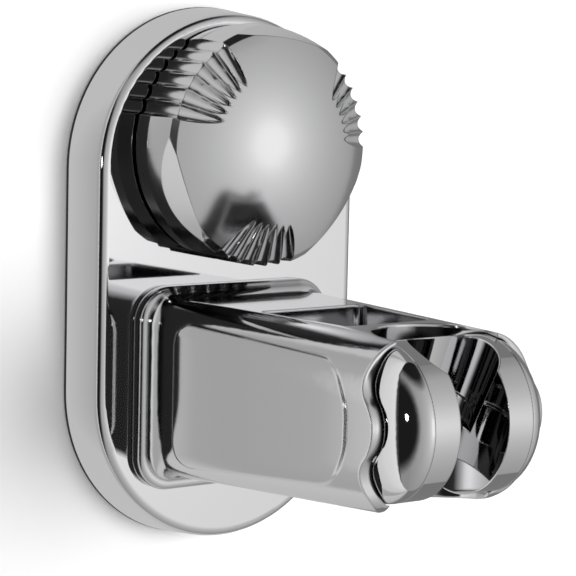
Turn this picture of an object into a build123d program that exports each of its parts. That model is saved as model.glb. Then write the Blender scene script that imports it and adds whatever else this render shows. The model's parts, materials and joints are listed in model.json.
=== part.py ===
from build123d import *
import math
import os

# Wall-mounted hand shower holder with a twist-knob suction mount.
# Millimetres, +Z up, +X to the right as seen from the room.
# The wall is the plane y = 0 and the front faces -Y, so a depth d lies at y = -d.

# Wall plate; its height follows from the knob and the arm's flange
plate_width = 86.0
plate_top_margin = 3.0
plate_bottom_margin = 16.0
knob_to_flange = 6.0
plate_depth = 16.0
plate_wall = 2.4
plate_draft = 5.5
plate_edge_radius = 2.6
pad_thickness = 1.0

# Suction cup, stud and guide
cup_margin = 0.7
cup_lip_width = 7.0
cup_rim_thickness = 0.9
cup_hollow = 0.8
cup_floor = 2.3
cup_lip = 0.9
cup_stroke = 3.0
stud_flange_radius = 10.0
stud_flange_thickness = 1.6
stud_square = 8.8
stud_thread_radius = 4.0
stud_length = 30.0
running_gap = 0.05
seat_gap = 0.1
assembly_gap = 0.3

# Back base
base_thickness = 2.5
base_wall = 2.0
ring_wall = 3.0
bush_radius = 8.0
bush_flange = 2.0
bush_flange_thickness = 1.3

# Knob
knob_radius = 33.0
knob_swell = 0.7
knob_side = 16.0
knob_crease = 6.4
knob_rim_bevel = 1.6
knob_dome_height = 9.0
knob_wall = 3.0
knob_roof = 5.2
knob_hub_radius = 12.5
knob_socket_wall = 2.2
knob_journal_radius = 9.0
knob_nut_radius = 6.5
washer_thickness = 0.9
washer_width = 4.0
grip_groups = 3
grip_phase = 142.0
grip_count = 6
grip_pitch = 7.6
grip_radius = 2.5
grip_depth = 1.5
fan_origin_radius = 12.0
fan_origin_depth = 1.5
fan_gather = 0.5
fan_tip_radius = 0.3
fan_rim_radius = 2.3
fan_rim_lift = 0.8
bevel_offset = 25.0
bevel_width = 3.1
bevel_height = 7.0

# Arm
flange_width = 64.0
flange_height = 57.0
flange_thickness = 4.0
flange_corner = 10.0
flange_rounding = 1.8
arm_root_width = 57.0
arm_tip_width = 56.0
arm_top_step = 3.0
arm_bottom_step = 4.5
arm_tip_height = 45.0
arm_root_corner = 7.0
arm_tip_corner = 16.0
arm_wall = 2.8
flare_width = 2.4
flare_depth = 7.0
flare_steps = 5
flare_start = 15.0
cheek_lead = 5.0
tongue_reach = 5.4
tongue_half_height = 14.0
chin_radius = 6.0
cavity_rear = 54.0
cavity_front = 88.0
cavity_rear_width = 34.0
cavity_front_width = 28.0
cavity_corner = 2.0
saddle_wall = 2.6
panel_height = 0.6
panel_rear = 31.0
panel_front = 107.0
panel_rear_height = 40.0
panel_front_height = 31.0
panel_corner = 7.0
panel_end_corner = 14.0

# Swivel head
head_depth = 107.0
head_drop = 22.0
barrel_radius = 20.5
barrel_length = 32.0
cap_height = 9.5
swing_gap = 0.35
slot_width = 16.0
throat_gap = 0.5
seat_tilt = 22.0
seat_top_radius = 12.3
seat_bottom_radius = 10.2
seat_length = 24.0
seat_lip = 2.0
hose_bore_radius = 8.6
pin_radius = 2.5
pin_grip = 4.0
pin_nose = 1.3
ring_width = 2.2
ring_thickness = 1.2

# Fasteners
screw_radius = 1.8
screw_head_radius = 3.4
screw_head_height = 2.2
base_screw_length = 5.5
arm_screw_length = 13.0
boss_radius = 4.2
boss_roof = 1.2
arm_screw_inset = 10.5
arm_screw_rise = 16.0
lower_screw_inset = 11.0
lower_screw_angle = 52.0

# Places that follow from the sizes above
plate_height = plate_top_margin + 2 * knob_radius + knob_to_flange + flange_height + plate_bottom_margin
plate_growth = (plate_depth - pad_thickness) * math.tan(math.radians(plate_draft))
knob_height_on_wall = plate_height / 2 - plate_top_margin - knob_radius
flange_centre = plate_bottom_margin - plate_height / 2 + flange_height / 2
cover_inner = plate_depth - plate_wall
base_inset = plate_wall + assembly_gap
cup_radius = knob_radius + plate_top_margin + plate_growth - base_inset - base_wall - cup_margin
stud_flange_rear = cup_floor + seat_gap
stud_flange_front = stud_flange_rear + stud_flange_thickness
stud_end = stud_flange_front + stud_length
cup_lip_front = stud_flange_front + cup_lip
base_rear = cup_lip_front + cup_stroke + assembly_gap
base_front = base_rear + base_thickness
bush_flange_front = cover_inner - seat_gap
bush_flange_rear = bush_flange_front - bush_flange_thickness
thread_start = cover_inner - plate_wall / 2 - assembly_gap - seat_gap
knob_rear = plate_depth + washer_thickness + seat_gap
knob_rim = knob_rear + knob_side
knob_edge = knob_radius - knob_rim_bevel
knob_shoulder = knob_rim + knob_rim_bevel
knob_top = knob_shoulder + knob_dome_height
nut_rear = thread_start + cup_stroke + assembly_gap
nut_front = stud_end - cup_stroke
nut_bore_end = stud_end + cup_stroke + assembly_gap
arm_root = plate_depth + flange_thickness
arm_reach = head_depth + cheek_lead
arm_tip = arm_reach + tongue_reach
arm_top = flange_centre + flange_height / 2 - arm_top_step
arm_root_height = flange_height - arm_top_step - arm_bottom_step
head_height_on_wall = arm_top - head_drop
arm_screw_x = arm_root_width / 2 - arm_screw_inset
half_barrel = barrel_length / 2
cap_end = half_barrel + cap_height
pin_end = cap_end + swing_gap + pin_nose


def wall_plane(depth, x=0.0, z=0.0):
    """Plane parallel to the wall at a depth, seen from the room."""
    return Plane(origin=(x, -depth, z), x_dir=(1, 0, 0), z_dir=(0, -1, 0))


def turned(points, x=0.0, z=0.0):
    """Solid turned about an axis square to the wall; points are (radius, depth)."""
    side = Plane(origin=(x, 0, z), x_dir=(1, 0, 0), z_dir=(0, 0, -1))
    face = make_face(Polyline(*points, close=True))
    return revolve(side * face, axis=Axis((x, 0, z), (0, -1, 0)))


def rod(radius, start, end, x=0.0, z=0.0):
    """Plain cylinder square to the wall between two depths."""
    return extrude(wall_plane(start, x, z) * Circle(radius), amount=end - start)


def knob_rod(radius, start, end):
    """Plain cylinder on the knob's axis."""
    return rod(radius, start, end, z=knob_height_on_wall)


def head_place():
    """Centre of the swivel head's barrel."""
    return Pos(0, -head_depth, head_height_on_wall)


def cross_rod(radius, length, x=0.0):
    """Plain cylinder along the swivel axis."""
    return Pos(x, 0, 0) * head_place() * Cylinder(radius, length, rotation=(0, 90, 0))


def arm_screw_places():
    rows = (flange_centre + arm_screw_rise, flange_centre - arm_screw_rise)
    return [(side * arm_screw_x, row) for side in (-1, 1) for row in rows]


def base_screw_places():
    """Two screws beside the knob's axis, inside the pressure ring, and two in the plate's lower end."""
    upper_x = cup_radius - ring_wall - screw_head_radius - 2 * assembly_gap
    end_radius = plate_width / 2 - lower_screw_inset
    end_centre = (plate_width - plate_height) / 2
    angle = math.radians(lower_screw_angle)
    lower_x = end_radius * math.cos(angle)
    lower_z = end_centre - end_radius * math.sin(angle)
    pairs = ((upper_x, knob_height_on_wall), (lower_x, lower_z))
    return [(side * x, z) for side in (-1, 1) for x, z in pairs]


def plate_outline(inset, depth):
    """Stadium outline of the tapered plate, set in from its surface at a depth."""
    grow = (plate_depth - depth) * math.tan(math.radians(plate_draft))
    long = plate_height + 2 * (grow - inset)
    wide = plate_width + 2 * (grow - inset)
    return wall_plane(depth) * SlotOverall(long, wide, rotation=90)


def tapered_slab(inset, rear, front):
    """Slab that follows the plate's draft between two depths."""
    return extrude(plate_outline(inset, rear), amount=front - rear, taper=plate_draft)


def make_front_cover():
    outer = tapered_slab(0, pad_thickness, plate_depth)
    front_edges = outer.faces().sort_by(Axis.Y)[0].edges()
    outer = fillet(front_edges, plate_edge_radius)
    cover = outer - tapered_slab(plate_wall, pad_thickness, cover_inner)
    for x, z in base_screw_places():
        cover += rod(boss_radius, base_front, cover_inner, x, z)
        cover -= rod(screw_radius + running_gap, base_front, plate_depth - boss_roof, x, z)
    for x, z in arm_screw_places():
        cover -= rod(screw_radius + assembly_gap, cover_inner, plate_depth, x, z)
    return cover - knob_rod(knob_journal_radius, cover_inner, plate_depth)


def make_wall_pad():
    pad = extrude(plate_outline(0, 0), amount=pad_thickness, taper=plate_draft)
    return pad - knob_rod(cup_radius + assembly_gap, 0, pad_thickness)


def make_back_base():
    base = tapered_slab(base_inset, pad_thickness, base_front)
    base -= tapered_slab(base_inset + base_wall, pad_thickness, base_rear)
    ring_rear = cup_rim_thickness + assembly_gap
    base += knob_rod(cup_radius, ring_rear, base_rear)
    base -= knob_rod(cup_radius - ring_wall, ring_rear, base_rear)
    for side in (-1, 1):
        width = plate_width - 2 * (base_inset + base_wall)
        rib = Box(width, base_rear - pad_thickness, base_wall)
        base += Pos(0, -(base_rear + pad_thickness) / 2, flange_centre + side * arm_screw_rise) * rib
    base += knob_rod(bush_radius + base_wall, base_front, bush_flange_rear)
    base -= knob_rod(bush_radius, base_rear, bush_flange_rear)
    for x, z in base_screw_places():
        base -= rod(screw_radius + assembly_gap, base_rear, base_front, x, z)
        base -= rod(screw_head_radius + assembly_gap, pad_thickness, base_rear, x, z)
    for x, z in arm_screw_places():
        base -= rod(screw_head_radius + 3 * assembly_gap, pad_thickness, base_front, x, z)
    return base


def make_guide_bush():
    bush = knob_rod(bush_radius, base_rear, bush_flange_rear)
    bush += knob_rod(bush_radius + bush_flange, bush_flange_rear, bush_flange_front)
    hole = stud_square + 2 * running_gap
    cut = wall_plane(base_rear, z=knob_height_on_wall) * Rectangle(hole, hole)
    return bush - extrude(cut, amount=bush_flange_front - base_rear)


def make_suction_cup():
    flange = stud_flange_radius + seat_gap
    opening = stud_flange_radius - cup_lip
    seat_front = stud_flange_front + seat_gap
    ring_inner = cup_radius - ring_wall
    profile = [
        (0, cup_hollow), (cup_radius - cup_lip_width, 0), (cup_radius, 0),
        (cup_radius, cup_rim_thickness), (ring_inner, cup_rim_thickness),
        (ring_inner - base_wall, 2 * cup_rim_thickness),
        (flange + 2 * base_wall, cup_floor), (flange + base_wall, cup_lip_front), (opening, cup_lip_front),
        (opening, seat_front), (flange, seat_front), (flange, cup_floor), (0, cup_floor),
    ]
    return turned(profile, z=knob_height_on_wall)


def make_stud():
    stud = knob_rod(stud_flange_radius, stud_flange_rear, stud_flange_front)
    shank = wall_plane(stud_flange_front, z=knob_height_on_wall) * Rectangle(stud_square, stud_square)
    stud += extrude(shank, amount=thread_start - stud_flange_front)
    return stud + knob_rod(stud_thread_radius, thread_start, stud_end)


def make_thrust_washer():
    inner = knob_journal_radius + assembly_gap
    front = plate_depth + washer_thickness
    return knob_rod(inner + washer_width, plate_depth, front) - knob_rod(inner, plate_depth, front)


def dome_depth(radius):
    """Depth of the knob's dome at a distance from its axis."""
    ball = (knob_edge ** 2 + knob_dome_height ** 2) / (2 * knob_dome_height)
    return knob_top - ball + math.sqrt(ball ** 2 - radius ** 2)


def make_knob_blank():
    """Turned shell of the knob with its dome, its creased side wall and the socket for its core."""
    side = Plane(origin=(0, 0, knob_height_on_wall), x_dir=(1, 0, 0), z_dir=(0, 0, -1))
    axis = Axis((0, 0, knob_height_on_wall), (0, -1, 0))
    outline = Polyline((0, knob_rear), (knob_radius, knob_rear),
                       (knob_radius + knob_swell, knob_rear + knob_crease),
                       (knob_radius, knob_rim), (knob_edge, knob_shoulder))
    half_way = (knob_edge / 2, dome_depth(knob_edge / 2))
    dome = ThreePointArc((knob_edge, knob_shoulder), half_way, (0, knob_top))
    closing = Line((0, knob_top), (0, knob_rear))
    blank = revolve(side * make_face(outline + dome + closing), axis=axis)
    inner = knob_radius - knob_wall
    socket = knob_hub_radius + knob_socket_wall
    hollow = Polyline((socket, knob_rear), (inner, knob_rear), (inner, knob_rim - knob_wall),
                      (socket, knob_top - knob_roof), close=True)
    blank -= revolve(side * make_face(hollow), axis=axis)
    return blank - knob_rod(knob_hub_radius + running_gap, knob_rear, nut_bore_end)


def side_groove(angle):
    """Grip groove down the knob's side wall."""
    a = math.radians(angle)
    out = knob_radius + grip_radius - grip_depth
    x, z = out * math.cos(a), knob_height_on_wall + out * math.sin(a)
    return rod(grip_radius, knob_rear - 1, knob_top, x, z)


def fan_flute(angle, centre):
    """Cone that carries a grip groove on over the dome, towards the fan's origin."""
    a = math.radians(angle)
    c = math.radians(centre + fan_gather * (angle - centre))
    start = Vector(fan_origin_radius * math.cos(c), fan_origin_depth - dome_depth(fan_origin_radius),
                   knob_height_on_wall + fan_origin_radius * math.sin(c))
    end = Vector(knob_edge * math.cos(a), -knob_shoulder - fan_rim_lift,
                 knob_height_on_wall + knob_edge * math.sin(a))
    way = end - start
    past = 1 + 2 * fan_rim_radius / way.length
    flute = Cone(fan_tip_radius, fan_rim_radius * past, way.length * past,
                 align=(Align.CENTER, Align.CENTER, Align.MIN))
    return Plane(origin=start, z_dir=way) * flute


def bevel_cutter(angle):
    """Ring about an offset axis that takes a crescent off the knob's shoulder."""
    a = math.radians(angle)
    x, z = -bevel_offset * math.cos(a), knob_height_on_wall - bevel_offset * math.sin(a)
    far = knob_radius + knob_swell + bevel_offset
    low = knob_shoulder - bevel_height
    high = knob_top + 1
    run = bevel_width * (high - low) / bevel_height
    beyond = far + knob_radius
    return turned([(far, low), (far - run, high), (beyond, high), (beyond, low)], x, z)


def make_knob():
    knob = make_knob_blank()
    step = 360 / grip_groups
    for group in range(grip_groups):
        knob -= bevel_cutter(grip_phase + step * (group + 0.5))
    for group in range(grip_groups):
        centre = grip_phase + step * group
        for number in range(grip_count):
            angle = centre + (number - (grip_count - 1) / 2) * grip_pitch
            knob -= side_groove(angle)
            knob -= fan_flute(angle, centre)
    return knob


def make_knob_core():
    """Moulded core that turns in the cover and holds the nut."""
    core = knob_rod(knob_hub_radius, knob_rear, nut_bore_end)
    core += knob_rod(knob_journal_radius - running_gap, cover_inner + seat_gap, knob_rear)
    return core - knob_rod(knob_nut_radius, cover_inner + seat_gap, nut_bore_end)


def make_knob_nut():
    nut = knob_rod(knob_nut_radius, nut_rear, nut_front)
    return nut - knob_rod(stud_thread_radius + running_gap, nut_rear, nut_front)


def arm_section(depth, inset=0.0):
    """Rounded section of the arm at a depth, set in from its surface."""
    share = (depth - arm_root) / (arm_tip - arm_root)
    width = arm_root_width + (arm_tip_width - arm_root_width) * share
    height = arm_root_height + (arm_tip_height - arm_root_height) * share
    corner = arm_root_corner + (arm_tip_corner - arm_root_corner) * share
    outline = RectangleRounded(width - 2 * inset, height - 2 * inset, corner - inset)
    return wall_plane(depth, z=arm_top - height / 2) * outline


def flare():
    """Hollow-curved flare that leads from the flange into the arm."""
    sections = []
    for step in range(flare_steps + 1):
        turn = math.radians(flare_start + (90 - flare_start) * step / flare_steps)
        spread = flare_width * (1 - math.sin(turn)) - running_gap
        depth = arm_root + flare_depth * (1 - math.cos(turn))
        sections.append(arm_section(depth, -spread))
    foot = [arm_section(arm_root - flange_rounding, -flare_width), sections[0]]
    return loft(foot, ruled=True) + loft(sections)


def barrel_solid(radius, extra):
    """Swivel barrel with its two domed ends, or its envelope when grown by a clearance."""
    plane = Plane(origin=(0, -head_depth, head_height_on_wall), x_dir=(1, 0, 0), z_dir=(0, -1, 0))
    tip = cap_end + extra
    edge = Polyline((0, 0), (0, radius), (half_barrel, radius))
    end = EllipticalCenterArc((half_barrel, 0), tip - half_barrel, radius, start_angle=0, arc_size=90)
    face = make_face(edge + end + Line((tip, 0), (0, 0)))
    right = revolve(plane * face, axis=Axis((0, -head_depth, head_height_on_wall), (1, 0, 0)))
    return right + mirror(right, about=Plane.YZ)


def side_trim():
    """Everything in front of the arm's cheeks, which swell forward at the pivot in one smooth wave."""
    side = Plane(origin=(0, 0, 0), x_dir=(0, -1, 0), z_dir=(-1, 0, 0))
    middle = head_height_on_wall
    half = tongue_half_height
    turn_depth = arm_reach + tongue_reach / 2
    low = TangentArc((arm_reach, middle - half), (turn_depth, middle - half / 2), tangent=(0, 1))
    high = TangentArc((arm_reach, middle + half), (turn_depth, middle + half / 2), tangent=(0, -1))
    front = ThreePointArc(low @ 1, (arm_tip, middle), high @ 1)
    reach = arm_tip_height
    far = arm_tip + reach
    bottom = arm_top - arm_tip_height
    border = Polyline((arm_reach, middle + half), (arm_reach, middle + reach), (far, middle + reach),
                      (far, bottom - reach), (arm_reach - chin_radius, bottom - reach),
                      (arm_reach - chin_radius, bottom))
    chin = TangentArc((arm_reach, bottom + chin_radius), (arm_reach - chin_radius, bottom), tangent=(0, -1))
    jaw = Line((arm_reach, bottom + chin_radius), (arm_reach, middle - half))
    trim = make_face(low + front + high + border + chin + jaw)
    return extrude(side * trim, amount=arm_tip_width, both=True)


def side_panel():
    """Soft oval that stands slightly proud of the arm's two sides."""
    side = Plane(origin=(0, 0, 0), x_dir=(0, -1, 0), z_dir=(-1, 0, 0))
    rear_middle = arm_top - arm_root_height / 2
    front_middle = head_height_on_wall
    rear_half = panel_rear_height / 2
    front_half = panel_front_height / 2
    rear_low, rear_high = (panel_rear, rear_middle - rear_half), (panel_rear, rear_middle + rear_half)
    front_low, front_high = (panel_front, front_middle - front_half), (panel_front, front_middle + front_half)
    outline = make_face(Polyline(rear_low, front_low, front_high, rear_high, close=True))
    rear_corners = outline.vertices().sort_by(Axis.X)[:2]
    outline = fillet(rear_corners, panel_corner)
    front_corners = outline.vertices().sort_by(Axis.X)[-2:]
    outline = fillet(front_corners, panel_end_corner)
    skin = loft([arm_section(panel_rear - 2, -panel_height), arm_section(panel_front + 2, -panel_height)])
    return extrude(side * outline, amount=arm_root_width, both=True) & skin


def make_arm():
    flange = extrude(wall_plane(plate_depth, z=flange_centre)
                     * RectangleRounded(flange_width, flange_height, flange_corner), amount=flange_thickness)
    flange = fillet(flange.faces().sort_by(Axis.Y)[0].edges(), flange_rounding)
    body = loft([arm_section(arm_root - flange_rounding), arm_section(arm_tip + 2)])
    body -= side_trim()
    arm = flange + flare() + body + side_panel()
    rear_room = loft([arm_section(plate_depth, arm_wall), arm_section(cavity_rear - arm_wall, arm_wall)])
    for x, z in arm_screw_places():
        rear_room -= rod(boss_radius, plate_depth, cavity_rear, x, z)
    arm -= rear_room
    for x, z in arm_screw_places():
        arm -= rod(screw_radius + running_gap, plate_depth, cover_inner + arm_screw_length + boss_roof, x, z)
    arm -= cavity_room()
    arm -= barrel_solid(barrel_radius + swing_gap, swing_gap)
    arm -= throat_room()
    return arm - cross_rod(pin_radius + running_gap, 2 * (pin_end + seat_gap))


def cavity_room():
    """Open-topped room in the arm, kept clear of the saddle behind the barrel."""
    floor = arm_top - arm_tip_height + arm_wall
    outline = Polyline((-cavity_rear_width / 2, -cavity_rear), (cavity_rear_width / 2, -cavity_rear),
                       (cavity_front_width / 2, -cavity_front), (-cavity_front_width / 2, -cavity_front),
                       close=True)
    room = extrude(Pos(0, 0, floor) * make_face(outline), amount=arm_top - floor + arm_wall)
    room = fillet(room.edges().filter_by(Axis.Z), cavity_corner)
    return room - cross_rod(barrel_radius + swing_gap + saddle_wall, 2 * cavity_rear_width)


def throat_room():
    """Upright gap between the cheeks, open to the front, above and below the barrel's seat."""
    radius = half_barrel + throat_gap
    height = 2 * arm_root_height
    back = head_place() * Cylinder(radius, height)
    front = Pos(0, -barrel_radius, 0) * head_place() * Box(2 * radius, 2 * barrel_radius, height)
    return back + front


def seat_cutter():
    """Tapered seat, through bore and front slot along the tilted seat axis."""
    seat = Pos(0, 0, barrel_radius + seat_lip - seat_length) * Cone(
        seat_bottom_radius, seat_top_radius, seat_length, align=(Align.CENTER, Align.CENTER, Align.MIN))
    bore = Cylinder(hose_bore_radius, 4 * barrel_radius)
    slot = Pos(0, -barrel_radius, 0) * Box(slot_width, 2 * barrel_radius, 4 * barrel_radius)
    return head_place() * Rot(seat_tilt, 0, 0) * (seat + bore + slot)


def make_swivel_head():
    holes = cross_rod(pin_radius, barrel_length) - cross_rod(2 * pin_radius, barrel_length - 2 * pin_grip)
    return cross_rod(barrel_radius, barrel_length) - seat_cutter() - holes


def make_end_cap(side):
    """Domed end of the barrel, with a flat seat round the pin for the friction ring."""
    keep = cross_rod(2 * barrel_radius, 2 * cap_height, side * cap_end)
    cap = barrel_solid(barrel_radius, 0) & (keep - cross_rod(2 * barrel_radius, barrel_length))
    seat = cross_rod(pin_radius + ring_width + running_gap, 2 * ring_thickness, side * cap_end)
    return cap - cross_rod(pin_radius, 2 * pin_end) - seat


def make_friction_ring(side):
    """Rubber ring that rubs on the cheek and holds the head at its angle."""
    start = cap_end - ring_thickness
    middle = side * (start + cap_end) / 2
    return cross_rod(pin_radius + ring_width, ring_thickness, middle) - cross_rod(pin_radius, 2 * pin_end)


def make_pivot_pin(side):
    start = half_barrel - pin_grip
    return cross_rod(pin_radius, pin_end - start, side * (start + pin_end) / 2)


def make_screw(rear, length, x, z):
    """Pan-head screw that points into the room, its head nearest the wall."""
    screw = rod(screw_head_radius, rear - screw_head_height, rear, x, z)
    return screw + rod(screw_radius, rear, rear + length, x, z)


def make_base_screws():
    return Compound(children=[make_screw(base_rear, base_screw_length, x, z) for x, z in base_screw_places()])


def make_arm_screws():
    return Compound(children=[make_screw(cover_inner, arm_screw_length, x, z) for x, z in arm_screw_places()])


nodes = {
    "front_cover": make_front_cover,
    "wall_pad": make_wall_pad,
    "back_base": make_back_base,
    "base_screws": make_base_screws,
    "guide_bush": make_guide_bush,
    "suction_cup": make_suction_cup,
    "cup_stud": make_stud,
    "thrust_washer": make_thrust_washer,
    "knob": make_knob,
    "knob_core": make_knob_core,
    "knob_nut": make_knob_nut,
    "arm": make_arm,
    "arm_screws": make_arm_screws,
    "swivel_head": make_swivel_head,
    "left_end_cap": lambda: make_end_cap(-1),
    "right_end_cap": lambda: make_end_cap(1),
    "left_friction_ring": lambda: make_friction_ring(-1),
    "right_friction_ring": lambda: make_friction_ring(1),
    "left_pivot_pin": lambda: make_pivot_pin(-1),
    "right_pivot_pin": lambda: make_pivot_pin(1),
}

os.makedirs("parts", exist_ok=True)
for name, make in nodes.items():
    export_step(make(), "parts/" + name + ".step")
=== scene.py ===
import json
import math

import bmesh
import bpy
from mathutils import Matrix, Vector


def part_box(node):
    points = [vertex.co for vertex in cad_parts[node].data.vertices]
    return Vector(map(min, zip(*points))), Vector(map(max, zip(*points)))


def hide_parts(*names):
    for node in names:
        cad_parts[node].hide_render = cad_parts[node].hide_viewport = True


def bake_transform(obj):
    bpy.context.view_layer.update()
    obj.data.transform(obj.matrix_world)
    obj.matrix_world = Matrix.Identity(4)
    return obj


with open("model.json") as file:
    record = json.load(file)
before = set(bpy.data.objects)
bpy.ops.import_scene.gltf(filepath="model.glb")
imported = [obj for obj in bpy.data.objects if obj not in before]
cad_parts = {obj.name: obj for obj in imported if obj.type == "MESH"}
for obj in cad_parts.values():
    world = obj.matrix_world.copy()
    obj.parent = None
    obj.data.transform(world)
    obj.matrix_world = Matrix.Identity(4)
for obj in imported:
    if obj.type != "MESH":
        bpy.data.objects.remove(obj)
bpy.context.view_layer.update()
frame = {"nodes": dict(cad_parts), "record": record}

# Lengths are in metres and angles in degrees.

# Camera at the photograph's viewing angle
CAMERA_AZIMUTH = -36.5
CAMERA_ELEVATION = 7.0
CAMERA_ROLL = 1.3
CAMERA_DISTANCE = 0.703
CAMERA_AIM = (-0.0048, -0.05, 0.0012)
CAMERA_NEAR = 0.01
FRAME_PIXELS = 576
FOCAL_PIXELS = 2600.0
SENSOR = 36.0

# Chrome: its grain is the scale of the fine noise, its spread that of the roughness
CHROME_COLOR = (0.84, 0.84, 0.85)
CHROME_GRAIN = 60.0
CHROME_RELIEF = 0.0000008
CHROME_SPREAD = 0.02
EDGE_SAMPLES = 8

# Middle of the knob's dome, a part of a ball, and the radii where its own normal begins to fade and ends
DOME_BALL_RADIUS = 0.0593
DOME_FADE = (0.0043, 0.00602)

# Scale of the broad noise against the fine one, in all materials
BROAD_SHARE = 0.08

# Suction cup: depths from the wall, and lengths along its radius
CUP_HOLLOW = 0.0013
CUP_FLAT_SHARE = 0.35
CUP_SKIN = 0.00004
CUP_LIP = 0.007
CUP_GROOVES = 3
CUP_GROOVE_SHIFT = 0.7
CUP_GROOVE_WIDTH = 0.0004
CUP_GROOVE_DEPTH = 0.00025
CUP_RIM = 0.0009
CUP_RIM_WIDTH = 0.003
CUP_BACK_INSET = 0.005
CUP_FLOOR = 0.0023
CUP_COLLAR_FOOT = 0.004
CUP_COLLAR_WALL = 0.002
CUP_COLLAR_LIP = 0.001
CUP_SEAT_FRONT = 0.0041
CUP_PLAY = 0.0001
CUP_ROUNDING = 0.0003
STUD_FLANGE = 0.01
BEND_STEPS = 3
LATHE_STEPS = 96
ON_AXIS = 0.000001

# Wall and floor; the tones are a painted reflection: what the chrome mirrors of the wall, by X, is an
# emission in bands, with no shadow
WALL_GAP = 0.0006
HOLE_MARGIN = 0.0006
WALL_WHITE = 0.8
CAMERA_LIFT = 0.18
LIFT_REACH = (0.2, 0.6)
WALL_SPAN = 1.5
# Painted reflection: the grey that the chrome shows of the wall at each X
PAINTED_REFLECTION_TONES = ((-1.4, 0.05), (-0.9, 0.85), (-0.3, 0.75), (-0.125, 0.62), (-0.106, 0.44), (-0.06, 0.4),
              (-0.046, 0.6), (0.045, 0.5), (0.06, 0.2))
ROOM_SIZE = 6.0
WALL_STEPS = 96
FLOOR_HEIGHT = -0.9

# Soft round glow that the chrome mirrors: its direction, and its level by the angle off its middle
GLOW_WAY = (0.40, -0.91, -0.02)
GLOW_REACH = 90.0
GLOW_STOPS = ((0, 1.7), (6, 1.2), (12, 0.84), (20, 0.7), (30, 0.58), (45, 0.47), (60, 0.42), (89, 0.3))

# Shade on the left and above, from dark to light along X and Z of the direction
SHADE_LEFT = (-0.85, -0.6)
SHADE_ABOVE = (0.92, 0.7)
SHADE_FLOOR = 0.04

# Painted shade: share of the glow that is left after further mirrorings, far below what chrome keeps, from
# left to right
PAINTED_DEEP_SHADE = 0.05
PAINTED_DEEP_SHADE_SIDE = (-0.1, 0.25)

# Lamps: the key lights what isn't chrome, and the spark shows as small points in the chrome
KEY_PLACE = (0.35, -0.95, 0.06)
KEY_AIM = (0, 0, 0)
KEY_SIZE = 0.55
KEY_POWER = 9.0
SPARK_PLACE = (-0.85, -0.3, 0.06)
SPARK_AIM = (0, -0.05, 0)
SPARK_SIZE = 0.08
SPARK_POWER = 0.13

# Sockets of the Mix node that carry vectors
MIX_FIRST = 4
MIX_SECOND = 5
MIX_RESULT = 1


def new_material(name):
    material = bpy.data.materials.new(name)
    material.use_nodes = True
    tree = material.node_tree
    tree.nodes.clear()
    return material, tree


def add_node(tree, kind, **inputs):
    node = tree.nodes.new(kind)
    for key, value in inputs.items():
        node.inputs[key.replace("_", " ")].default_value = value
    return node


def add_math(tree, operation, kind="ShaderNodeMath"):
    node = tree.nodes.new(kind)
    node.operation = operation
    return node


def add_vector_math(tree, operation):
    return add_math(tree, operation, "ShaderNodeVectorMath")


def map_range(tree, source, target):
    node = tree.nodes.new("ShaderNodeMapRange")
    node.inputs["From Min"].default_value, node.inputs["From Max"].default_value = source
    node.inputs["To Min"].default_value, node.inputs["To Max"].default_value = target
    return node


def grey_ramp(tree, stops, interpolation):
    """Ramp of greys through stops of (position, value)."""
    node = tree.nodes.new("ShaderNodeValToRGB")
    ramp = node.color_ramp
    ramp.interpolation = interpolation
    while len(ramp.elements) < len(stops):
        ramp.elements.new(1.0)
    for element, (position, value) in zip(ramp.elements, stops):
        element.position = position
        element.color = (value, value, value, 1)
    return node


def join(tree, source, output, target, name):
    tree.links.new(source.outputs[output], target.inputs[name])


def mix_shaders(tree, source, output, first, second):
    """First shader where the source is 0, second where it is 1."""
    mixed = tree.nodes.new("ShaderNodeMixShader")
    join(tree, source, output, mixed, 0)
    join(tree, first, 0, mixed, 1)
    join(tree, second, 0, mixed, 2)
    return mixed


def surface(name, color, metallic, roughness, grain, relief, spread):
    """Principled material whose roughness and relief vary with fine noise in the object's own space."""
    material, tree = new_material(name)
    out = tree.nodes.new("ShaderNodeOutputMaterial")
    shader = add_node(tree, "ShaderNodeBsdfPrincipled", Metallic=metallic)
    shader.inputs["Base Color"].default_value = (*color, 1)
    place = tree.nodes.new("ShaderNodeTexCoord")
    fine = add_node(tree, "ShaderNodeTexNoise", Scale=grain, Detail=4.0)
    broad = add_node(tree, "ShaderNodeTexNoise", Scale=grain * BROAD_SHARE, Detail=3.0)
    worn = map_range(tree, (0.0, 1.0), (max(roughness - spread, 0.0), roughness + spread))
    bump = add_node(tree, "ShaderNodeBump", Strength=1.0, Distance=relief)
    join(tree, place, "Object", fine, "Vector")
    join(tree, place, "Object", broad, "Vector")
    join(tree, broad, "Fac", worn, "Value")
    join(tree, worn, "Result", shader, "Roughness")
    join(tree, fine, "Fac", bump, "Height")
    join(tree, bump, "Normal", shader, "Normal")
    join(tree, shader, "BSDF", out, "Surface")
    return material


def chrome(name, roughness, edge_reach):
    """Chrome whose normal is averaged over a small reach, as plating rounds a moulded edge."""
    material = surface(name, color=CHROME_COLOR, metallic=1.0, roughness=roughness,
                       grain=CHROME_GRAIN, relief=CHROME_RELIEF, spread=CHROME_SPREAD)
    tree = material.node_tree
    edge = add_node(tree, "ShaderNodeBevel", Radius=edge_reach)
    edge.samples = EDGE_SAMPLES
    join(tree, edge, "Normal", tree.nodes["Bump"], "Normal")
    return material


def polished_chrome():
    return chrome("polished_chrome", roughness=0.035, edge_reach=0.0006)


def soft_edged_chrome():
    return chrome("soft_edged_chrome", roughness=0.07, edge_reach=0.0012)


def satin_chrome():
    material = chrome("satin_chrome", roughness=0.17, edge_reach=0.0004)
    smooth_dome_middle(material.node_tree)
    return material


def foam_pad():
    return surface("foam_pad", color=(0.06, 0.06, 0.065), metallic=0.0, roughness=0.85,
                   grain=3000.0, relief=0.0001, spread=0.08)


def grey_plastic():
    return surface("grey_plastic", color=(0.3, 0.31, 0.32), metallic=0.0, roughness=0.5,
                   grain=1500.0, relief=0.00002, spread=0.08)


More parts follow.
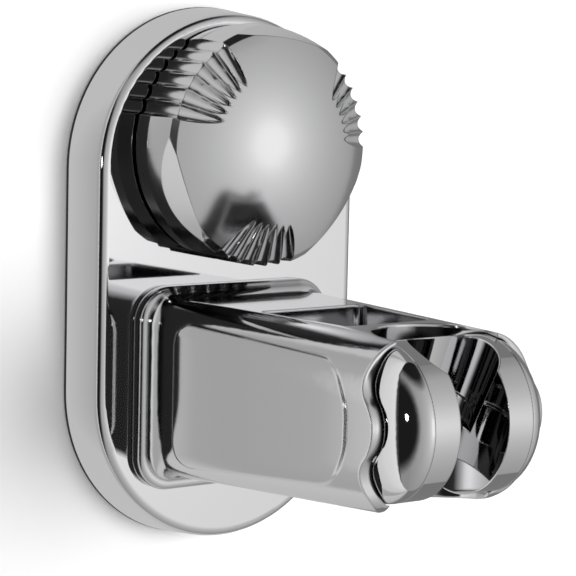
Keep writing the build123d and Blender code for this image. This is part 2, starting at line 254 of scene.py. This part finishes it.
def white_plastic():
    return surface("white_plastic", color=(0.82, 0.82, 0.8), metallic=0.0, roughness=0.35,
                   grain=1200.0, relief=0.00001, spread=0.06)


def clear_rubber():
    return surface("clear_rubber", color=(0.7, 0.73, 0.75), metallic=0.0, roughness=0.22,
                   grain=500.0, relief=0.00001, spread=0.06)


def screw_steel():
    return surface("screw_steel", color=(0.62, 0.61, 0.58), metallic=1.0, roughness=0.28,
                   grain=900.0, relief=0.00001, spread=0.08)


def brass_insert():
    return surface("brass_insert", color=(0.75, 0.55, 0.25), metallic=1.0, roughness=0.25,
                   grain=900.0, relief=0.00001, spread=0.08)


def make_materials():
    """One material for each slot of the record."""
    return {"chromed_shell": polished_chrome(), "foam_pad": foam_pad(), "grey_plastic": grey_plastic(),
            "screw_steel": screw_steel(), "white_plastic": white_plastic(), "clear_rubber": clear_rubber(),
            "brass_insert": brass_insert()}


def smooth_dome_middle(tree):
    """Gives the middle of the knob's dome its ball's normal, where the mesh's thin faces shade wrongly."""
    low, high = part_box("knob")
    middle = Vector(((low[0] + high[0]) / 2, low[1], (low[2] + high[2]) / 2))
    place = tree.nodes.new("ShaderNodeTexCoord")
    outward = add_vector_math(tree, "SUBTRACT")
    outward.inputs[1].default_value = middle + Vector((0, DOME_BALL_RADIUS, 0))
    turn = tree.nodes.new("ShaderNodeVectorTransform")
    turn.vector_type = "NORMAL"
    turn.convert_from = "OBJECT"
    turn.convert_to = "WORLD"
    away = add_vector_math(tree, "DISTANCE")
    away.inputs[1].default_value = middle
    share = map_range(tree, DOME_FADE, (1.0, 0.0))
    mixed = tree.nodes.new("ShaderNodeMix")
    mixed.data_type = "VECTOR"
    join(tree, place, "Object", outward, 0)
    join(tree, place, "Object", away, 0)
    join(tree, outward, "Vector", turn, "Vector")
    join(tree, away, "Value", share, "Value")
    join(tree, share, "Result", mixed, 0)
    join(tree, tree.nodes["Bevel"], "Normal", mixed, MIX_FIRST)
    join(tree, turn, "Vector", mixed, MIX_SECOND)
    join(tree, mixed, MIX_RESULT, tree.nodes["Bump"], "Normal")


def dress_nodes(materials):
    """Each node gets its slot's material, and the knob and the arm a chrome of their own."""
    slots = {part["node"]: part["material_slot"] for part in frame["record"]["subparts"]}
    for node, obj in frame["nodes"].items():
        obj.data.materials.clear()
        obj.data.materials.append(materials[slots[node]])
    frame["nodes"]["knob"].data.materials[0] = satin_chrome()
    frame["nodes"]["arm"].data.materials[0] = soft_edged_chrome()


def rounded(points, radius):
    """Outline with each corner cut to a short smooth bend."""
    smooth = [points[0]]
    for before, corner, after in zip(points, points[1:], points[2:]):
        corner = Vector(corner)
        first = Vector(before) - corner
        last = Vector(after) - corner
        reach = min(radius, first.length / 2, last.length / 2)
        start = corner + first.normalized() * reach
        end = corner + last.normalized() * reach
        for step in range(BEND_STEPS + 1):
            t = step / BEND_STEPS
            smooth.append((1 - t) ** 2 * start + 2 * t * (1 - t) * corner + t ** 2 * end)
    smooth.append(Vector(points[-1]))
    return [tuple(point) for point in smooth]


def turned_ring(build, centre, radius, depth):
    """Ring of vertices about the +Y line through centre, or a single one on that line."""
    if radius < ON_AXIS:
        return [build.verts.new((centre.x, centre.y - depth, centre.z))]
    angles = [2 * math.pi * step / LATHE_STEPS for step in range(LATHE_STEPS)]
    return [build.verts.new((centre.x + radius * math.cos(angle), centre.y - depth,
                             centre.z + radius * math.sin(angle))) for angle in angles]


def lathe(name, outline, centre, material):
    """Closed solid turned about the +Y line through centre, from an outline of (radius, depth)."""
    build = bmesh.new()
    rings = [turned_ring(build, centre, radius, depth) for radius, depth in outline]
    for first, second in zip(rings, rings[1:]):
        for step in range(LATHE_STEPS):
            corners = [first[step % len(first)], first[(step + 1) % len(first)],
                       second[(step + 1) % len(second)], second[step % len(second)]]
            build.faces.new(list(dict.fromkeys(corners))).smooth = True
    bmesh.ops.recalc_face_normals(build, faces=build.faces)
    mesh = bpy.data.meshes.new(name)
    build.to_mesh(mesh)
    build.free()
    mesh.materials.append(material)
    piece = bpy.data.objects.new(name, mesh)
    bpy.context.scene.collection.objects.link(piece)
    return piece


def cup_outline(rim, front):
    """Half section of the cup: hollow back, grooved lip, rim, sloping face, collar and the stud's pocket."""
    rear = [(0, CUP_HOLLOW), (CUP_FLAT_SHARE * rim, CUP_HOLLOW), (rim - CUP_LIP, CUP_SKIN)]
    for number in range(CUP_GROOVES):
        groove = rim - CUP_LIP + (number + CUP_GROOVE_SHIFT) * CUP_LIP / CUP_GROOVES
        rear += [(groove - CUP_GROOVE_WIDTH, CUP_SKIN), (groove, CUP_GROOVE_DEPTH),
                 (groove + CUP_GROOVE_WIDTH, CUP_SKIN)]
    outer = [(rim, CUP_SKIN), (rim, CUP_RIM), (rim - CUP_RIM_WIDTH, CUP_RIM),
             (rim - CUP_BACK_INSET, 2 * CUP_RIM)]
    seat = STUD_FLANGE + CUP_PLAY
    collar = [(seat + CUP_COLLAR_FOOT, CUP_FLOOR), (seat + CUP_COLLAR_WALL, front),
              (seat - CUP_COLLAR_LIP, front)]
    pocket = [(seat - CUP_COLLAR_LIP, CUP_SEAT_FRONT), (seat, CUP_SEAT_FRONT), (seat, CUP_FLOOR),
              (0, CUP_FLOOR)]
    return rounded(rear + outer + collar + pocket, CUP_ROUNDING)


def add_suction_cup(material):
    """Soft cup with grooved lip, turned from the suction cup node's box, which it replaces."""
    low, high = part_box("suction_cup")
    centre = Vector(((low[0] + high[0]) / 2, 0, (low[2] + high[2]) / 2))
    outline = cup_outline((high[0] - low[0]) / 2, -low[1])
    cup = lathe("suction_cup_soft", outline, centre, material)
    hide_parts("suction_cup")
    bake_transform(cup)


def place_camera():
    azimuth = math.radians(CAMERA_AZIMUTH)
    elevation = math.radians(CAMERA_ELEVATION)
    roll = math.radians(CAMERA_ROLL)
    back = Vector((math.sin(azimuth) * math.cos(elevation), -math.cos(azimuth) * math.cos(elevation),
                   math.sin(elevation)))
    right = (-back).cross(Vector((0, 0, 1))).normalized()
    up = right.cross(-back)
    turned_right = math.cos(roll) * right + math.sin(roll) * up
    turned_up = -math.sin(roll) * right + math.cos(roll) * up
    data = bpy.data.cameras.new("camera")
    data.sensor_width = SENSOR
    data.lens = FOCAL_PIXELS * SENSOR / FRAME_PIXELS
    data.clip_start = CAMERA_NEAR
    camera = bpy.data.objects.new("camera", data)
    bpy.context.scene.collection.objects.link(camera)
    turn = Matrix((turned_right, turned_up, back)).transposed().to_4x4()
    camera.matrix_world = Matrix.Translation(Vector(CAMERA_AIM) + back * CAMERA_DISTANCE) @ turn
    bpy.context.scene.camera = camera


def painted_reflection_of_wall(tree, place):
    """Painted reflection of the wall: what the chrome sees is an emission whose tone varies from left to
    right.
    """
    axes = tree.nodes.new("ShaderNodeSeparateXYZ")
    across = map_range(tree, (-WALL_SPAN, WALL_SPAN), (0.0, 1.0))
    stops = [((x + WALL_SPAN) / (2 * WALL_SPAN), value) for x, value in PAINTED_REFLECTION_TONES]
    tone = grey_ramp(tree, stops, "LINEAR")
    mirrored = add_node(tree, "ShaderNodeEmission", Strength=1.0)
    join(tree, place, "Object", axes, 0)
    join(tree, axes, "X", across, "Value")
    join(tree, across, "Result", tone, "Fac")
    join(tree, tone, "Color", mirrored, "Color")
    return mirrored


def painted_wall(tree, place, path):
    """White paint that is lifted to white for the camera, the more the further out it lies."""
    paint = add_node(tree, "ShaderNodeBsdfDiffuse", Color=(WALL_WHITE, WALL_WHITE, WALL_WHITE, 1))
    lift = tree.nodes.new("ShaderNodeEmission")
    away = add_vector_math(tree, "LENGTH")
    far = map_range(tree, LIFT_REACH, (CAMERA_LIFT, 1.0))
    camera_share = add_math(tree, "MULTIPLY")
    lit = tree.nodes.new("ShaderNodeAddShader")
    join(tree, place, "Object", away, 0)
    join(tree, away, "Value", far, "Value")
    join(tree, path, "Is Camera Ray", camera_share, 0)
    join(tree, far, "Result", camera_share, 1)
    join(tree, camera_share, 0, lift, "Strength")
    join(tree, paint, 0, lit, 0)
    join(tree, lift, 0, lit, 1)
    return lit


def wall_material():
    """White wall and floor, which show in the chrome a painted reflection of their own, and are clear when
    seen from behind.
    """
    material, tree = new_material("white_wall")
    out = tree.nodes.new("ShaderNodeOutputMaterial")
    place = tree.nodes.new("ShaderNodeTexCoord")
    path = tree.nodes.new("ShaderNodeLightPath")
    geometry = tree.nodes.new("ShaderNodeNewGeometry")
    clear = tree.nodes.new("ShaderNodeBsdfTransparent")
    painted = painted_wall(tree, place, path)
    # Glossy rays see the painted reflection in place of the lit wall
    front = mix_shaders(tree, path, "Is Glossy Ray", painted, painted_reflection_of_wall(tree, place))
    join(tree, mix_shaders(tree, geometry, "Backfacing", front, clear), 0, out, "Surface")
    return material


def add_stage(name, corners, faces, shows_in_gloss, material):
    mesh = bpy.data.meshes.new(name)
    mesh.from_pydata(corners, [], faces)
    mesh.materials.append(material)
    stage = bpy.data.objects.new(name, mesh)
    stage.visible_glossy = shows_in_gloss
    bpy.context.scene.collection.objects.link(stage)


def add_wall(paint):
    """Ring whose hole hides behind the plate, so that the back gets light too."""
    low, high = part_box("wall_pad")
    hole_radius = (high[0] - low[0]) / 2 - HOLE_MARGIN
    straight = (high[2] - low[2]) / 2 - HOLE_MARGIN - hole_radius
    inner = []
    outer = []
    for step in range(WALL_STEPS):
        angle = 2 * math.pi * (step + 0.5) / WALL_STEPS
        across, along = math.cos(angle), math.sin(angle)
        inner.append((hole_radius * across, WALL_GAP, hole_radius * along + math.copysign(straight, along)))
        outer.append((ROOM_SIZE / 2 * across, WALL_GAP, ROOM_SIZE / 2 * along))
    ring = [(step, step + WALL_STEPS, (step + 1) % WALL_STEPS + WALL_STEPS, (step + 1) % WALL_STEPS)
            for step in range(WALL_STEPS)]
    add_stage("wall", inner + outer, ring, True, paint)


def add_floor(paint):
    """Floor far below, which the chrome doesn't mirror."""
    half = ROOM_SIZE / 2
    corners = [(-half, -half, FLOOR_HEIGHT), (half, -half, FLOOR_HEIGHT),
               (half, WALL_GAP, FLOOR_HEIGHT), (-half, WALL_GAP, FLOOR_HEIGHT)]
    add_stage("floor", corners, [(0, 1, 2, 3)], False, paint)


def glow_level(tree, place):
    """Level of the soft round glow by the angle off its middle."""
    facing = add_vector_math(tree, "DOT_PRODUCT")
    facing.inputs[1].default_value = Vector(GLOW_WAY).normalized()
    angle = add_math(tree, "ARCCOSINE")
    share = add_math(tree, "DIVIDE")
    share.inputs[1].default_value = math.radians(GLOW_REACH)
    share.use_clamp = True
    stops = [(degrees / GLOW_REACH, value) for degrees, value in GLOW_STOPS]
    glow = grey_ramp(tree, stops, "B_SPLINE")
    join(tree, place, "Generated", facing, 0)
    join(tree, facing, "Value", angle, 0)
    join(tree, angle, 0, share, 0)
    join(tree, share, 0, glow, "Fac")
    return glow


def room_shade(tree, axes):
    """Share of the glow that is left towards the left and towards the top."""
    shade = add_math(tree, "MULTIPLY")
    for number, (axis, reach) in enumerate((("X", SHADE_LEFT), ("Z", SHADE_ABOVE))):
        ramp = map_range(tree, reach, (SHADE_FLOOR, 1.0))
        ramp.interpolation_type = "SMOOTHSTEP"
        join(tree, axes, axis, ramp, "Value")
        join(tree, ramp, "Result", shade, number)
    return shade


def painted_deep_shade_share(tree, axes, path):
    """Painted shade: share of the glow that is left at a second mirroring, less on the left, and at a third,
    far below what chrome keeps.
    """
    side = map_range(tree, PAINTED_DEEP_SHADE_SIDE, (PAINTED_DEEP_SHADE, 1.0))
    second = map_range(tree, (1.0, 2.0), (1.0, PAINTED_DEEP_SHADE))
    third = map_range(tree, (2.0, 3.0), (1.0, PAINTED_DEEP_SHADE))
    both = add_math(tree, "MULTIPLY")
    join(tree, axes, "X", side, "Value")
    join(tree, side, "Result", second, "To Max")
    join(tree, path, "Glossy Depth", second, "Value")
    join(tree, path, "Glossy Depth", third, "Value")
    join(tree, second, "Result", both, 0)
    join(tree, third, "Result", both, 1)
    return both


def studio_world():
    """White to the camera; the chrome sees one soft round glow, darker on the left and above, and painted
    shade after further mirrorings.
    """
    world = bpy.data.worlds.new("studio")
    world.use_nodes = True
    tree = world.node_tree
    tree.nodes.clear()
    out = tree.nodes.new("ShaderNodeOutputWorld")
    place = tree.nodes.new("ShaderNodeTexCoord")
    path = tree.nodes.new("ShaderNodeLightPath")
    axes = tree.nodes.new("ShaderNodeSeparateXYZ")
    room = tree.nodes.new("ShaderNodeBackground")
    white = add_node(tree, "ShaderNodeBackground", Color=(1, 1, 1, 1), Strength=1.0)
    level = add_math(tree, "MULTIPLY")
    join(tree, place, "Generated", axes, 0)
    join(tree, glow_level(tree, place), "Color", room, "Color")
    join(tree, room_shade(tree, axes), 0, level, 0)
    # Painted shade after a second and third mirroring
    join(tree, painted_deep_shade_share(tree, axes, path), 0, level, 1)
    join(tree, level, 0, room, "Strength")
    join(tree, mix_shaders(tree, path, "Is Camera Ray", room, white), 0, out, "Surface")
    bpy.context.scene.world = world


def area_light(name, place, aim, size, power, shows_in_gloss):
    data = bpy.data.lights.new(name, "AREA")
    data.shape = "DISK"
    data.size = size
    data.energy = power
    light = bpy.data.objects.new(name, data)
    light.visible_glossy = shows_in_gloss
    bpy.context.scene.collection.objects.link(light)
    way = Vector(aim) - Vector(place)
    light.matrix_world = Matrix.Translation(place) @ way.to_track_quat("-Z", "Y").to_matrix().to_4x4()


bpy.context.scene.view_settings.view_transform = "Standard"
materials = make_materials()
dress_nodes(materials)
add_suction_cup(materials["clear_rubber"])
place_camera()
wall_paint = wall_material()
add_wall(wall_paint)
add_floor(wall_paint)
studio_world()
area_light("key", KEY_PLACE, KEY_AIM, KEY_SIZE, KEY_POWER, False)
area_light("spark", SPARK_PLACE, SPARK_AIM, SPARK_SIZE, SPARK_POWER, True)
